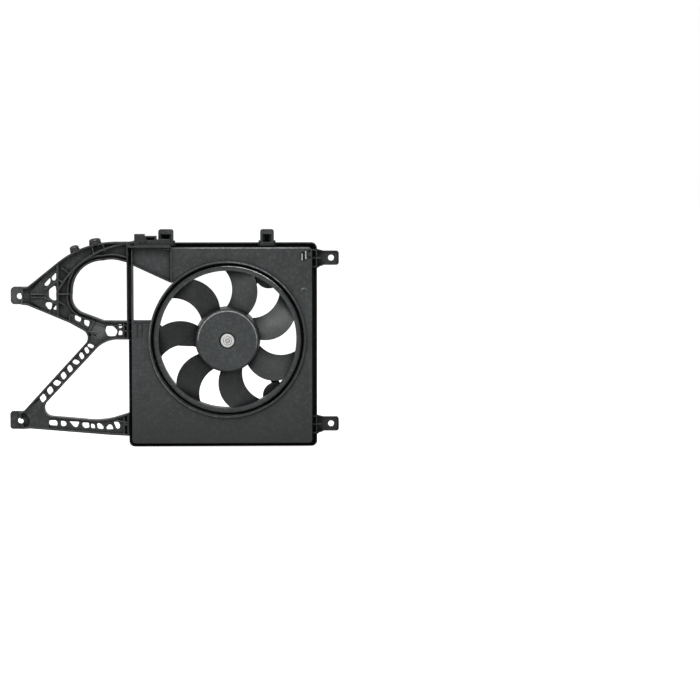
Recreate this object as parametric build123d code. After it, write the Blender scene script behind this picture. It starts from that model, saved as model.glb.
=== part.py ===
from build123d import *
import math
import os

os.makedirs("parts", exist_ok=True)

# Millimetres. X to the right, Y away from the viewer, Z up. The wheel turns about Y.

# Where the fan axis crosses the shroud
FAN_X = 98.0
FAN_Z = 199.6

# Stations along Y from the front to the face that meets the radiator
HUB_FRONT_Y = -34.0
COLLAR_FRONT_Y = -13.0
PANEL_Y = -8.0
COLLAR_REAR_Y = 24.5
CARRIER_REAR_Y = 34.0
REAR_Y = 38.0

# Shroud pan
COLLAR_OUTER_R = 144.0
SKIN = 2.4
WALL = 2.2
EDGE = 1.2
PAN_LEFT = -77.2
PAN_RIGHT = FAN_X + COLLAR_OUTER_R + 10.9
PAN_BOTTOM = 8.2
PAN_TOP = FAN_Z + COLLAR_OUTER_R + 24.3
PAN_CORNER = 7.0
RIM_LEFT = PAN_LEFT - 6.6
RIM_RIGHT = PAN_RIGHT + 9.8
RIM_TOP = PAN_TOP + 8.2
RIM_CORNER = 10.5
LIP_DEPTH = 18.0
RIB_REAR_Y = 1.0
HOOK_TOP = RIM_TOP + 24.4
HOOKS = ((-28.6, -1.0), (158.2, 183.5))

# Collar and wheel ring
COLLAR_INNER_R = COLLAR_OUTER_R - 4.0
BAND_LIP_R = COLLAR_INNER_R - 5.2
BAND_OUTER_R = COLLAR_INNER_R - 10.0
BAND_INNER_R = BAND_OUTER_R - 3.8
BAND_FRONT_Y = -11.0
BAND_REAR_Y = 20.0
COLLAR_SEAL_R = BAND_OUTER_R + 2.0

# Wheel hub and blades
BLADES = 7
HUB_R = 60.3
HUB_FACE_R = 53.8
HUB_REAR_Y = 8.0
HUB_INNER_R = 54.6
HUB_WALL = 3.2
SEAT_R = 14.0
SEAT_DEPTH = 3.0
BLADE_T = 2.2
BLADE_CAMBER_R = 120.0
BLADE_PITCH = 24.0
BLADE_LEAN = 0.04
BLADE_CREST = (2.0, -2.6)

# Ears that bolt to the radiator
EAR_T = 6.0
EAR_HALF = 13.2
EAR_END = RIM_RIGHT + 40.5
RIGHT_HOLE_X = RIM_RIGHT + 26.1
RIGHT_UPPER_Z = 347.4
RIGHT_LOWER_Z = 40.1
LEFT_END = -303.2
LEFT_HOLE_X = LEFT_END + 19.3
LEFT_UPPER_Z = 277.6
LEFT_LOWER_Z = 47.6
EAR_HOLE_R = 5.5

# Lattice carrier beside the pan
ARM_FRONT_Y = 14.0
ARM_REAR_Y = 34.0
WEB_FRONT_Y = 23.0
WEB_T = 3.0
ARM_RIM = 3.0
TRUSS_STEP = 5.0
BRIDGE_Z = 198.3
PEG_R = 3.4
PEG_HEIGHT = 12.0
PEGS = ((0.315, 8.6), (0.675, 10.4))

# Motor
SHAFT_R = 4.0
RUN = 0.03
CAN_R = 42.0
CAN_WALL = 2.0
CAN_FRONT_Y = -23.0
CAN_REAR_Y = 30.0
BEARING_R = 11.0
BEARING_W = 7.0
FRONT_BEARING_Y = -22.5
REAR_BEARING_Y = 27.5
CAN_INNER_R = CAN_R - CAN_WALL
MAGNET_R = CAN_INNER_R - 3.7
CORE_R = MAGNET_R - 0.8
CORE_FRONT_Y = -11.0
CORE_REAR_Y = 10.0
SLOT_OUTER_R = CORE_R - 3.5
SLOTS = 12
COMMUTATOR_R = 11.0
BRUSH_STOP_R = CAN_INNER_R - 7.7
SPRING_LENGTH = 7.3
GLAND_ANGLE = 92

# Motor carrier
RING_INNER_R = CAN_R + 1.0
RING_OUTER_R = RING_INNER_R + 13.5
MOTOR_BOLT_R = CAN_R + 7.6
MOTOR_BOLT_ANGLES = (0, 120, 240)
STRUT_ANGLES = (178, 57, -50)
FOOT_R = COLLAR_OUTER_R + 5.0
FOOT_PAD_R = 8.0
FOOT_LOBE_R = 25.0
SCREW_R = 2.0


def slab(sketch, front, rear):
    """A flat outline drawn as X and Z, standing between two Y stations."""
    plane = Plane(origin=(0, rear, 0), x_dir=(1, 0, 0), z_dir=(0, -1, 0))
    return extrude(plane * sketch, amount=rear - front)


def box(x0, x1, y0, y1, z0, z1):
    size = (x1 - x0, y1 - y0, z1 - z0)
    return Pos((x0 + x1) / 2, (y0 + y1) / 2, (z0 + z1) / 2) * Box(*size)


def disc(x, z, radius):
    return Pos(x, z) * Circle(radius)


def ring(x, z, outer, inner):
    return disc(x, z, outer) - disc(x, z, inner)


def tube(outer, inner, front, rear):
    """A tube about the fan axis."""
    return slab(ring(FAN_X, FAN_Z, outer, inner), front, rear)


def turned(points):
    """A closed outline of radius and Y, turned about the fan axis."""
    face = make_face(Polyline(*points, close=True))
    return Pos(FAN_X, 0, FAN_Z) * revolve(face, Axis.Y)


def round_box(x0, x1, z0, z1, corner):
    sketch = RectangleRounded(x1 - x0, z1 - z0, corner)
    return Pos((x0 + x1) / 2, (z0 + z1) / 2) * sketch


def polar(radius, angle):
    """X and Z of a point about the fan axis."""
    turn = math.radians(angle)
    return FAN_X + radius * math.cos(turn), FAN_Z + radius * math.sin(turn)


def polygon(*points):
    return make_face(Polyline(*points, close=True))


def bar(x0, z0, x1, z1, width):
    """A straight strip between two points."""
    length = math.hypot(x1 - x0, z1 - z0)
    angle = math.degrees(math.atan2(z1 - z0, x1 - x0))
    return Pos((x0 + x1) / 2, (z0 + z1) / 2) * Rot(0, 0, angle) * Rectangle(length, width)


def write(name, *solids):
    export_step(Compound(children=list(solids)) if len(solids) > 1 else solids[0], f"parts/{name}.step")


# Shroud pan with collar, ears and hooks

def right_ear(z):
    """One ear, its root and the ribs that tie it across the edge channel."""
    outline = polygon(
        (PAN_RIGHT, z + 16.5),
        (RIM_RIGHT, z + 16.0),
        (RIM_RIGHT + 11.3, z + EAR_HALF),
        (EAR_END, z + EAR_HALF),
        (EAR_END, z - EAR_HALF),
        (RIM_RIGHT + 9.3, z - EAR_HALF),
        (RIM_RIGHT, z - 19.5),
        (PAN_RIGHT, z - 19.5),
    )
    corners = outline.vertices().sort_by(Axis.X)[-2:]
    outline = fillet(corners, 5.0)
    plate = slab(outline, REAR_Y - EAR_T, REAR_Y)
    edge = slab(outline - offset(outline, -2.2), REAR_Y - EAR_T - 2, REAR_Y)
    root = box(RIM_RIGHT - 2, RIM_RIGHT + 8, REAR_Y - LIP_DEPTH, REAR_Y, z - 1.4, z + 1.4)
    ribs = root
    for dz in (15.0, 0.0, -16.0):
        ribs += box(PAN_RIGHT - 1, RIM_RIGHT - 1, REAR_Y - LIP_DEPTH, REAR_Y, z + dz - 1.2, z + dz + 1.2)
    for dz in (14.6, -15.2):
        ribs += slab(
            bar(RIM_RIGHT - 1, z + dz * 1.06, RIM_RIGHT + 11.3, z + dz * 0.85, 2.0),
            REAR_Y - LIP_DEPTH + 6,
            REAR_Y,
        )
    ear = plate + edge + ribs
    return ear - slab(disc(RIGHT_HOLE_X, z, EAR_HOLE_R), REAR_Y - 12, REAR_Y + 1)


def top_hook(x0, x1):
    """A box-shaped hook on the top rim: closed behind, with a stepped recess below its cap."""
    hook = box(x0, x1, 16, REAR_Y, RIM_TOP - 6, HOOK_TOP)
    hook = fillet(hook.edges().filter_by(Axis.Y).sort_by(Axis.Z)[-2:], 4.5)
    hook -= box(x0 + 4.4, x1 - 4.4, 15, 22, RIM_TOP + 1, HOOK_TOP - 9)
    hook -= box(x0 + 7.6, x1 - 7.6, 21, REAR_Y - WALL, RIM_TOP + 1, HOOK_TOP - 9)
    pads = box(x0 - 3, x0, 20, REAR_Y, RIM_TOP - 6, RIM_TOP + 3.5)
    pads += box(x1, x1 + 3, 20, REAR_Y, RIM_TOP - 6, RIM_TOP + 3.5)
    return hook + pads


def window():
    """The opening between the left post, the collar and the top left panel."""
    area = polygon((-75, 335.7), (-7.5, 304.5), (FAN_X, 304.5), (FAN_X, 235.4), (-75, 235.4))
    area -= disc(FAN_X, FAN_Z, COLLAR_OUTER_R)
    return area.faces().sort_by(Axis.X)[0]


def shroud_panel():
    pan = round_box(PAN_LEFT, PAN_RIGHT, PAN_BOTTOM, PAN_TOP, PAN_CORNER)
    inner = round_box(
        PAN_LEFT + WALL, PAN_RIGHT - WALL, PAN_BOTTOM + WALL, PAN_TOP - WALL, PAN_CORNER - WALL
    )
    rim = round_box(RIM_LEFT, RIM_RIGHT, 0, RIM_TOP, RIM_CORNER)
    rim_inner = round_box(
        RIM_LEFT + WALL, RIM_RIGHT - WALL, WALL, RIM_TOP - WALL, RIM_CORNER - WALL
    )
    block = slab(pan, PANEL_Y, REAR_Y)
    body = chamfer(block.edges().group_by(Axis.Y)[0], EDGE)
    body -= slab(inner, PANEL_Y + SKIN, REAR_Y + 1)
    body += slab(rim - inner, REAR_Y - SKIN, REAR_Y)
    body += slab(rim - rim_inner, REAR_Y - LIP_DEPTH, REAR_Y)
    # The top left panel lies a step behind the rest, below a slanting edge
    step = polygon((-75, 365.7), (-4, 365.7), (-4, 303), (-75, 336))
    body -= slab(step, PANEL_Y - 1, PANEL_Y + SKIN)
    body += slab(step, PANEL_Y + 6, PANEL_Y + 6 + SKIN)
    body += box(-5.6, -2.9, PANEL_Y - 2, PANEL_Y + 8, 303.5, PAN_TOP)
    opening = window()
    frame = offset(opening, 2.4) - opening
    body += slab(frame & pan, PANEL_Y, RIB_REAR_Y)
    body -= slab(opening, PANEL_Y - 1, PANEL_Y + 20)
    # Shallow pockets of the bridge between post and collar
    for x in (-66.5, -57.5):
        body -= box(x - 1.4, x + 1.4, PANEL_Y - 1, PANEL_Y + 1.4, 203.5, 228.5)
    body -= box(-71, -49, PANEL_Y - 1, PANEL_Y + 1.4, 228.5, 231)
    # Ribs across the left edge channel, which is covered beside the window
    for z in (198.5, 213.5, 228.5):
        body += box(RIM_LEFT + 1, PAN_LEFT + 1, REAR_Y - LIP_DEPTH, REAR_Y, z - 1.3, z + 1.3)
    cover = REAR_Y - LIP_DEPTH
    body += box(RIM_LEFT + 1, PAN_LEFT + 1, cover, cover + SKIN, 236.0, 333.0)
    body += turned([
        (COLLAR_INNER_R + EDGE, COLLAR_FRONT_Y),
        (COLLAR_OUTER_R - EDGE, COLLAR_FRONT_Y),
        (COLLAR_OUTER_R, COLLAR_FRONT_Y + EDGE),
        (COLLAR_OUTER_R, COLLAR_REAR_Y),
        (COLLAR_SEAL_R, COLLAR_REAR_Y),
        (COLLAR_SEAL_R, COLLAR_REAR_Y - 2.5),
        (COLLAR_INNER_R, COLLAR_REAR_Y - 2.5),
        (COLLAR_INNER_R, COLLAR_FRONT_Y + EDGE),
    ])
    # Stiffening ribs behind the panel, from the collar to the walls
    for angle in (22, 38, 82, 98, 262, 278, 318, 338):
        start = polar(COLLAR_OUTER_R - 1, angle)
        end = polar(COLLAR_OUTER_R + 130, angle)
        strip = bar(*start, *end, 2.0) & pan
        body += slab(strip, PANEL_Y + 1, RIB_REAR_Y)
    for angle in STRUT_ANGLES:
        x, z = polar(FOOT_R, angle)
        body += slab(disc(x, z, 7.0), PANEL_Y + 1, COLLAR_REAR_Y)
    body -= tube(COLLAR_INNER_R, 0.001, PANEL_Y - 1, PANEL_Y + SKIN + 1)
    for angle in STRUT_ANGLES:
        x, z = polar(FOOT_R, angle)
        body -= slab(disc(x, z, SCREW_R + 0.05), 4, COLLAR_REAR_Y + 1)
    body += right_ear(RIGHT_UPPER_Z)
    body += right_ear(RIGHT_LOWER_Z)
    for x0, x1 in HOOKS:
        body += top_hook(x0, x1)
        body -= box(x0 + 7.6, x1 - 7.6, PANEL_Y + 4, 12, PAN_TOP - WALL - 1, PAN_TOP + 1)
    # Two slots in the panel edge beside the spring clip
    for z in (361.0, 350.0):
        body -= box(PAN_RIGHT - 6.9, PAN_RIGHT - 2.9, PANEL_Y - 1, PANEL_Y + SKIN + 0.5, z - 2.5, z + 2.5)
    return body.solids().sort_by(SortBy.VOLUME)[-1]


# Lattice carrier

def carrier_outline():
    """The whole outer edge of the carrier, from the upper ear round by the pan to the lower ear."""
    upper_left = (-279.8, 295.0)
    edges = [
        Line(upper_left, (-268.7, 295.5)),
        Line((-268.7, 295.5), (-209.9, 342.8)),
        arch_edge(),
        Line((-110.0, 377.9), (RIM_LEFT, 377.9)),
        Line((RIM_LEFT, 377.9), (RIM_LEFT, BRIDGE_Z)),
        Line((RIM_LEFT, BRIDGE_Z), (-99.5, BRIDGE_Z)),
        ThreePointArc((-99.5, BRIDGE_Z), (-125.0, 194.0), (-145.5, 178.6)),
        Line((-145.5, 178.6), (-233.0, 84.6)),
        ThreePointArc((-233.0, 84.6), (-238.2, 68.5), (-226.0, 57.0)),
        Line((-226.0, 57.0), (-165.0, 51.6)),
        ThreePointArc((-165.0, 51.6), (-128.0, 51.2), (-100.0, 57.6)),
        Line((-100.0, 57.6), (RIM_LEFT, 62.7)),
        Line((RIM_LEFT, 62.7), (RIM_LEFT, 20.4)),
        Line((RIM_LEFT, 20.4), (-117.9, 22.2)),
        Line((-117.9, 22.2), (-265.1, 34.6)),
        Line((-265.1, 34.6), (-279.8, 33.6)),
        Line((-279.8, 33.6), (-286.0, 64.0)),
        Line((-286.0, 64.0), (-277.0, 67.0)),
        Line((-277.0, 67.0), (-164.0, 190.0)),
        ThreePointArc((-164.0, 190.0), (-158.9, 203.0), (-165.5, 214.6)),
        Line((-165.5, 214.6), (-191.5, 229.2)),
        Line((-191.5, 229.2), (-267.8, 261.4)),
        Line((-267.8, 261.4), (-279.8, 262.9)),
        Line((-279.8, 262.9), upper_left),
    ]
    return make_face(edges)


def arch_edge():
    """The curved top of the arch between the straight flank and the level part."""
    return ThreePointArc((-209.9, 342.8), (-163.0, 368.3), (-110.0, 377.9))


def upright(radius, height):
    return Cylinder(radius, height, align=(Align.CENTER, Align.CENTER, Align.MIN))


def on_arch(share, piece):
    """Stands a piece drawn along Z on the arch's top edge."""
    edge = arch_edge()
    foot = edge @ share
    run = edge % share
    lean = math.degrees(math.atan2(run.Y, run.X))
    return Pos(foot.X, (ARM_FRONT_Y + ARM_REAR_Y) / 2, foot.Y) * Rot(0, -lean, 0) * piece


def arch_opening():
    """The rounded D between the arch and the pan."""
    edges = [
        Line((-86.6, 340.0), (-100.0, 343.6)),
        ThreePointArc((-100.0, 343.6), (-114.5, 345.4), (-128.9, 343.6)),
        ThreePointArc((-128.9, 343.6), (-171.5, 325.0), (-185.9, 284.4)),
        ThreePointArc((-185.9, 284.4), (-182.9, 262.0), (-170.0, 249.0)),
        Line((-170.0, 249.0), (-128.9, 233.3)),
        Line((-128.9, 233.3), (-86.6, 232.5)),
        Line((-86.6, 232.5), (-86.6, 340.0)),
    ]
    return make_face(edges)


def eased(sketch, size):
    """The same outline with its corners cut off."""
    return chamfer(sketch.vertices(), size)


def arch_cells():
    """The openings of the arch and of the bridge towards the pan."""
    cells = [
        eased(polygon((-239, 299), (-226.5, 312.5), (-226.5, 303), (-233, 296)), 2.0),
        eased(polygon((-225.5, 311), (-216, 322), (-216, 309), (-221, 305.5)), 2.0),
        eased(polygon((-229.5, 290), (-217.5, 298.3), (-216, 290), (-216, 270), (-222, 270), (-229.5, 276)), 2.0),
        eased(polygon((-237, 263), (-233, 267.5), (-223, 266), (-225, 254.5), (-230, 253)), 2.0),
        eased(polygon((-222.5, 254), (-216, 262), (-216, 252.5)), 1.2),
        eased(polygon((-182.5, 243.5), (-170, 239), (-172.5, 230), (-182.5, 234)), 2.0),
        eased(polygon((-165.5, 235), (-154.8, 232.5), (-157.5, 221), (-165.5, 226)), 2.0),
        eased(polygon((-124.5, 223), (-112, 223), (-104, 214), (-108, 204), (-122, 204), (-127, 213)), 2.0),
        eased(polygon((-103.5, 226), (-95.5, 226), (-95.5, 220.5), (-101, 218)), 1.5),
        eased(polygon((-101, 215), (-95.5, 214), (-95.5, 206), (-103.5, 206)), 1.5),
    ]
    return cells


def along(start, end, share):
    return tuple(a + (b - a) * share for a, b in zip(start, end))


def diagonal_cells():
    """Rounded cells down the diagonal arm, closer and smaller towards the bridge."""
    count = 9
    top = (-153.8, 186.2)
    low = (-241.9, 90.0)
    angle = math.degrees(math.atan2(low[1] - top[1], low[0] - top[0]))
    cells = []
    for i in range(count):
        x, z = along(top, low, (i / (count - 1)) ** 1.2)
        half = 3.6 + 0.33 * i
        lean = 1.6 if i % 3 else -1.4
        cell = polygon((-half - lean, -5.2), (half - lean, -5.2), (half + lean, 5.2), (-half + lean, 5.2))
        cells.append(Pos(x, z) * Rot(0, 0, angle) * eased(cell, 1.9))
    return cells


def bottom_cells():
    """The uneven cells of the bottom arm, from the lower ear to the pan."""
    return [
        eased(polygon((-231.5, 49.4), (-216.5, 49.4), (-215.5, 38.6), (-231.5, 40.0)), 2.4),
        eased(polygon((-210.0, 48.0), (-201.5, 47.6), (-198.6, 43.0), (-201.5, 37.8), (-209.0, 37.8)), 1.8),
        eased(polygon((-195.0, 47.2), (-175.6, 46.4), (-179.5, 36.0), (-185.0, 36.0)), 1.6),
        eased(polygon((-170.0, 45.0), (-158.0, 44.6), (-157.2, 35.2), (-166.0, 33.8), (-171.0, 39.5)), 1.8),
        eased(polygon((-154.6, 43.0), (-148.0, 41.5), (-146.2, 33.8), (-154.2, 33.8)), 1.5),
        eased(polygon((-143.5, 43.5), (-137.0, 43.5), (-130.6, 36.5), (-132.0, 32.0), (-142.0, 33.0)), 1.8),
        eased(polygon((-121.0, 41.5), (-116.0, 40.5), (-112.8, 31.8), (-126.0, 31.8), (-126.4, 35.5)), 1.5),
        eased(polygon((-113.0, 45.8), (-103.5, 45.8), (-100.2, 38.5), (-103.5, 31.8), (-107.5, 32.5)), 1.8),
    ]


def truss_area():
    """The stretches that are a deep truss: the tip of the arch, the two arms and the bridge."""
    tip = polygon((-262, 286), (-262, 268), (-213, 236), (-213, 346))
    low = polygon((-191, 246), (-191, 226), (-148, 205), (-148, 236))
    bridge = polygon((-152, 215), (-146, 233), (-93, 233), (-93, 196), (-130, 190))
    arm = polygon((-150, 206), (-125, 196), (-228, 82), (-262, 78), (-262, 92), (-170, 200))
    foot = polygon((-234, 60), (-234, 30), (-93, 20), (-93, 64))
    return tip + low + bridge + arm + foot


def left_ear(x_end, z, half, corner, round_r):
    """A thick pad, rounded off behind the hole, flush with the radiator face."""
    middle = z + 1.3
    pad = round_box(x_end, LEFT_HOLE_X + 12, middle - half, middle + half, corner)
    pad += disc(LEFT_HOLE_X, z, round_r) & (Pos(LEFT_HOLE_X + 30, middle) * Rectangle(60, 2 * half))
    return slab(pad, REAR_Y - EAR_T - 2, REAR_Y)


def carrier_ribs():
    """Cross ribs of the arch, the bridge and the bottom arm, as flat strips."""
    strips = [
        bar(-213.2, 340.0, -213.2, 238.0, 3.4),
        bar(-213.0, 282.0, -186.0, 282.0, 2.0),
        bar(-238.0, 289.5, -213.0, 306.0, 3.6),
        bar(-238.0, 276.0, -213.0, 263.5, 3.6),
        bar(-262.0, 281.8, -238.0, 281.8, 2.0),
        bar(-262.0, 276.2, -238.0, 276.2, 2.0),
        bar(-146.4, 232.9, -156.0, 214.0, 2.6),
        bar(-160.0, 213.0, -140.0, 212.0, 2.0),
        bar(-92.5, 232.0, -92.5, 199.0, 2.0),
        bar(-92.5, 214.0, RIM_LEFT, 214.0, 2.0),
        bar(-93.0, 58.0, -93.0, 22.0, 2.4),
        bar(-93.0, 41.0, RIM_LEFT, 41.0, 2.2),
        bar(-232.5, 55.0, -232.5, 34.0, 2.4),
        bar(-191.5, 243.0, -191.5, 229.0, 2.2),
        bar(-211.0, 268.0, -199.0, 261.0, 2.2),
        bar(-211.0, 308.0, -203.0, 303.0, 2.2),
        bar(-206.0, 331.0, -190.0, 318.0, 2.0),
        bar(-130.0, 374.0, -126.0, 361.0, 2.0),
        bar(-150.0, 370.0, -146.0, 354.0, 2.0),
    ]
    return strips


def sweeping_rib():
    """The long curved rib that runs from the top of the post to the back of the arch."""
    radius = 166.2
    return ring(-66.1, 209.6, radius + 1.6, radius - 1.6)


def side_carrier():
    outline = carrier_outline()
    opening = arch_opening()
    area = outline - opening
    cells = None
    for cell in arch_cells() + diagonal_cells() + bottom_cells():
        cells = cell if cells is None else cells + cell
    plate = slab(area - cells, WEB_FRONT_Y, WEB_FRONT_Y + WEB_T)
    plate += slab((area & truss_area()) - cells, ARM_FRONT_Y + TRUSS_STEP, ARM_REAR_Y - TRUSS_STEP)
    rim = slab(outline - offset(outline, -ARM_RIM), ARM_FRONT_Y, ARM_REAR_Y)
    border = (offset(opening, ARM_RIM) - opening) & outline
    rim += slab(border, ARM_FRONT_Y, ARM_REAR_Y)
    second = (offset(opening, ARM_RIM + 7.0) - offset(opening, ARM_RIM + 4.6)) & outline
    strips = sweeping_rib() & area
    for strip in carrier_ribs():
        strips = strips + (strip & area)
    body = plate + rim
    body += slab(second, ARM_FRONT_Y + 3, WEB_FRONT_Y + 1)
    body += slab(strips - cells, ARM_FRONT_Y + 1.5, ARM_REAR_Y - 1.5)
    # The gusset over the lower ear is closed in front and hollow behind
    gusset = polygon((-262, 78), (-240, 92), (-233, 84.6), (-238, 68.5), (-226, 57), (-234, 32), (-270, 36), (-277, 62))
    gusset = (gusset & outline) - disc(LEFT_HOLE_X, LEFT_LOWER_Z, 17.6)
    body += slab(gusset - cells, ARM_FRONT_Y + 2, WEB_FRONT_Y + 1)
    body += left_ear(LEFT_END + 3.0, LEFT_UPPER_Z, 16.2, 7.5, 19.8)
    body += left_ear(LEFT_END, LEFT_LOWER_Z, 16.6, 5.5, 18.4)
    for share, radius in PEGS:
        body -= on_arch(share, Pos(0, 0, -ARM_RIM - 1) * upright(PEG_R, ARM_RIM + 4))
    for z in (LEFT_UPPER_Z, LEFT_LOWER_Z):
        body -= slab(disc(LEFT_HOLE_X, z, EAR_HOLE_R), 10, REAR_Y + 1)
    return body.solids().sort_by(SortBy.VOLUME)[-1]


# Wheel: hub cup, swept blades and the ring that joins their tips

def lead_angle(share):
    """Angle of a blade's front edge against its share of the span."""
    return 154.7 + 16.6 * share**2.6


def trail_angle(share):
    return 197.1 - 36.6 * share + 35.3 * share**2


def blade_outline():
    """A blade seen from the front, from inside the hub wall to inside the ring."""
    root_r = HUB_R - 3.5
    tip_r = BAND_INNER_R + 1.6
    lead = []
    trail = []
    middle = []
    for share in (0.0, 0.5, 1.0):
        radius = root_r + (tip_r - root_r) * share
        front = lead_angle(share)
        back = trail_angle(share)
        for edge, angle in ((lead, front), (trail, back), (middle, (front + back) / 2)):
            turn = math.radians(angle)
            edge.append((radius * math.cos(turn), radius * math.sin(turn)))
    edges = [
        ThreePointArc(*lead),
        ThreePointArc(lead[2], middle[2], trail[2]),
        ThreePointArc(*trail),
        ThreePointArc(trail[0], middle[0], lead[0]),
    ]
    return make_face(edges)


def blade():
    """One cambered blade: an arc-shaped strip drawn out along the span, cut to the blade's outline."""
    pitch = math.radians(BLADE_PITCH)
    centre_v = BLADE_CREST[0] + BLADE_CAMBER_R * math.sin(pitch)
    centre_y = BLADE_CREST[1] - BLADE_CAMBER_R * math.cos(pitch)
    camber = Pos(centre_v, centre_y) * (Circle(BLADE_CAMBER_R + BLADE_T) - Circle(BLADE_CAMBER_R))
    strip = camber & (Pos(0, -10) * Rectangle(100, 64))
    start = HUB_FACE_R - 8
    span = BAND_OUTER_R + 4 - start
    across = Plane(origin=(-start, start * BLADE_LEAN, 0), x_dir=(0, 0, -1), z_dir=(1, -BLADE_LEAN, 0))
    sheet = Solid.extrude((across * strip).faces()[0], Vector(-span, span * BLADE_LEAN, 0))
    return sheet & slab(blade_outline(), HUB_FRONT_Y, BAND_REAR_Y)


def fan_wheel():
    hub = [
        (SHAFT_R + RUN, HUB_FRONT_Y + SEAT_DEPTH),
        (SEAT_R, HUB_FRONT_Y + SEAT_DEPTH),
        (SEAT_R + 1.2, HUB_FRONT_Y),
        (HUB_FACE_R, HUB_FRONT_Y),
        (HUB_FACE_R + 2.8, HUB_FRONT_Y + 1.2),
        (HUB_FACE_R + 3.9, HUB_FRONT_Y + 4.2),
        (HUB_R, HUB_REAR_Y),
        (HUB_INNER_R, HUB_REAR_Y),
        (HUB_INNER_R, HUB_FRONT_Y + HUB_WALL),
        (SEAT_R, HUB_FRONT_Y + HUB_WALL),
        (SEAT_R, HUB_FRONT_Y + 6.5),
        (SHAFT_R + RUN, HUB_FRONT_Y + 6.5),
    ]
    band = [
        (BAND_INNER_R, BAND_FRONT_Y),
        (BAND_LIP_R - 1.0, BAND_FRONT_Y),
        (BAND_LIP_R, BAND_FRONT_Y + 1.0),
        (BAND_LIP_R, BAND_FRONT_Y + 3.4),
        (BAND_OUTER_R, BAND_FRONT_Y + 3.4),
        (BAND_OUTER_R, BAND_REAR_Y),
        (BAND_INNER_R, BAND_REAR_Y),
    ]
    wheel = turned(hub) + turned(band)
    first = blade()
    for i in range(BLADES):
        wheel += Pos(FAN_X, 0, FAN_Z) * Rot(0, i * 360 / BLADES, 0) * first
    return wheel.solids().sort_by(SortBy.VOLUME)[-1]


def nut_washer():
    floor = HUB_FRONT_Y + SEAT_DEPTH
    return tube(12.3, SHAFT_R + RUN, floor - 1.6, floor)


def fan_nut():
    seat = HUB_FRONT_Y + SEAT_DEPTH - 1.6
    hexagon = Pos(FAN_X, FAN_Z) * (RegularPolygon(7.5, 6) - Circle(SHAFT_R + RUN))
    nut = slab(hexagon, seat - 4.6, seat)
    return nut + tube(8.6, SHAFT_R + RUN, seat - 1.2, seat)


# Motor

def motor_housing():
    pocket = FRONT_BEARING_Y
    can = turned([
        (SHAFT_R + 1.5, pocket - 2.2),
        (BEARING_R + 2.2, pocket - 2.2),
        (BEARING_R + 2.2, CAN_FRONT_Y),
        (CAN_R - 2, CAN_FRONT_Y),
        (CAN_R, CAN_FRONT_Y + 2),
        (CAN_R, CAN_REAR_Y),
        (CAN_INNER_R, CAN_REAR_Y),
        (CAN_INNER_R, CAN_FRONT_Y + CAN_WALL),
        (BEARING_R + 2.2, CAN_FRONT_Y + CAN_WALL),
        (BEARING_R + 2.2, pocket + BEARING_W),
        (BEARING_R, pocket + BEARING_W),
        (BEARING_R, pocket),
        (SHAFT_R + 1.5, pocket),
    ])
    for angle in MOTOR_BOLT_ANGLES:
        x, z = polar(MOTOR_BOLT_R, angle)
        inner = polar(CAN_R - 1.0, angle)
        lug = bar(*inner, x, z, 14) + disc(x, z, 7.0)
        lug -= disc(FAN_X, FAN_Z, CAN_R - 1.0)
        can += slab(lug, 20.0, 22.4)
        can -= slab(disc(x, z, 2.6), 15, 23)
    x, z = polar(CAN_R, GLAND_ANGLE)
    gland = Pos(x, 18, z) * Rot(0, 90 - GLAND_ANGLE, 0) * Cylinder(4.0, 12)
    return (can - gland).solids().sort_by(SortBy.VOLUME)[-1]


def lead_gland():
    """Rubber gland in the side of the can where the leads come out."""
    x, z = polar(CAN_R + 1.5, GLAND_ANGLE)
    stub = Cylinder(4.0, 9.0) + Pos(0, 0, 2.3) * Cylinder(5.6, 2.4)
    stub -= Pos(0, -1.7, 0) * Cylinder(1.1, 12) + Pos(0, 1.7, 0) * Cylinder(1.1, 12)
    return Pos(x, 18, z) * Rot(0, 90 - GLAND_ANGLE, 0) * stub


def motor_end_plate():
    pocket_rear = REAR_BEARING_Y + BEARING_W
    return turned([
        (0, pocket_rear),
        (BEARING_R, pocket_rear),
        (BEARING_R, REAR_BEARING_Y),
        (BEARING_R + 1.8, REAR_BEARING_Y),
        (BEARING_R + 1.8, CAN_REAR_Y),
        (CAN_R, CAN_REAR_Y),
        (CAN_R, CAN_REAR_Y + 2),
        (BEARING_R + 1.8, CAN_REAR_Y + 2),
        (BEARING_R + 1.8, pocket_rear + 1.8),
        (0, pocket_rear + 1.8),
    ])


def bearing(front):
    return tube(BEARING_R, SHAFT_R + RUN, front, front + BEARING_W)


def magnets():
    """Two curved magnets against the inside of the can."""
    shell = tube(CAN_INNER_R, MAGNET_R, CORE_FRONT_Y - 3, CORE_REAR_Y + 3)
    gap = box(FAN_X - 60, FAN_X + 60, -40, 40, FAN_Z - 9, FAN_Z + 9)
    return (shell - gap).solids()


def slot_outline(grow):
    """One slot between two teeth of the core, drawn on the positive X side."""
    near = 17 - grow
    far = SLOT_OUTER_R + grow
    body = polygon((near, -1.8 - grow), (far, -5.6 - grow), (far, 5.6 + grow), (near, 1.8 + grow))
    mouth = Pos(SLOT_OUTER_R + 2, 0) * Rectangle(6, 2 * (1.2 + grow))
    return body, mouth


def slot_ring(grow, with_mouth):
    area = None
    for i in range(SLOTS):
        body, mouth = slot_outline(grow)
        turn = Pos(FAN_X, FAN_Z) * Rot(0, 0, i * 360 / SLOTS)
        piece = turn * (body + mouth) if with_mouth else turn * body
        area = piece if area is None else area + piece
    return area


def armature_core():
    core = tube(CORE_R, SHAFT_R, CORE_FRONT_Y, CORE_REAR_Y)
    return (core - slab(slot_ring(0, True), CORE_FRONT_Y - 1, CORE_REAR_Y + 1)).solids()[0]


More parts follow.
